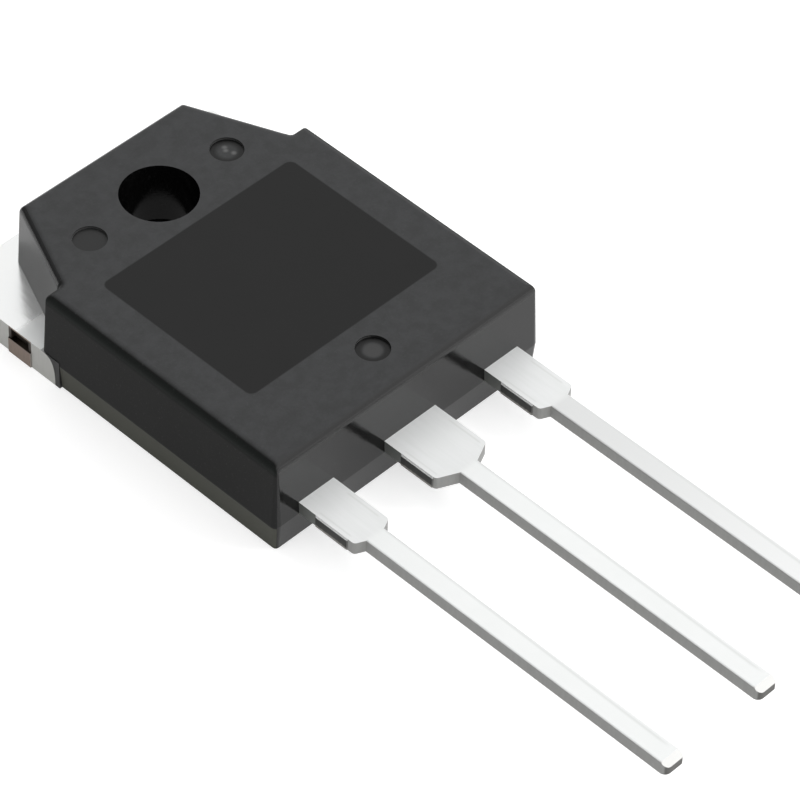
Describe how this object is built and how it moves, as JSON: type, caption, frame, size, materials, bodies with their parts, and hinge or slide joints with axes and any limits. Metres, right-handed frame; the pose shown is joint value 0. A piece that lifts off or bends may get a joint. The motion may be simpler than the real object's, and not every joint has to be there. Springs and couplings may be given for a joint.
{
  "type": "power mosfet",
  "caption": "Power MOSFET in a flat black moulded package with a screw-mounted metal header and straight flat leads.",
  "frame": {"origin": "point where the mounting-hole axis meets the flat back face that goes against the heat sink", "axes": "+Z along the mounting-hole axis, out of the marked front face; the leads run towards -Y and the screw-hole end is at +Y; X is the width, with the gate lead at -X and the source lead at +X"},
  "size_m": [0.0158, 0.0398, 0.0048],
  "materials": {
    "moulded_epoxy": "black filled epoxy, satin, with a darker square field on the front",
    "tinned_copper": "copper with a matte silver tin plating",
    "silicon": "metallised silicon chip, hidden inside the body",
    "solder": "dull solder, hidden inside the body",
    "bond_aluminium": "drawn aluminium wire, hidden inside the body"
  },
  "bodies": {
    "root": {"mould_body": "moulded_epoxy", "drain_header": "tinned_copper", "gate_lead": "tinned_copper", "source_lead": "tinned_copper", "silicon_die": "silicon", "die_attach_solder": "solder", "gate_bond_wire": "bond_aluminium", "source_bond_wire_1": "bond_aluminium", "source_bond_wire_2": "bond_aluminium"}
  },
  "joints": []
}
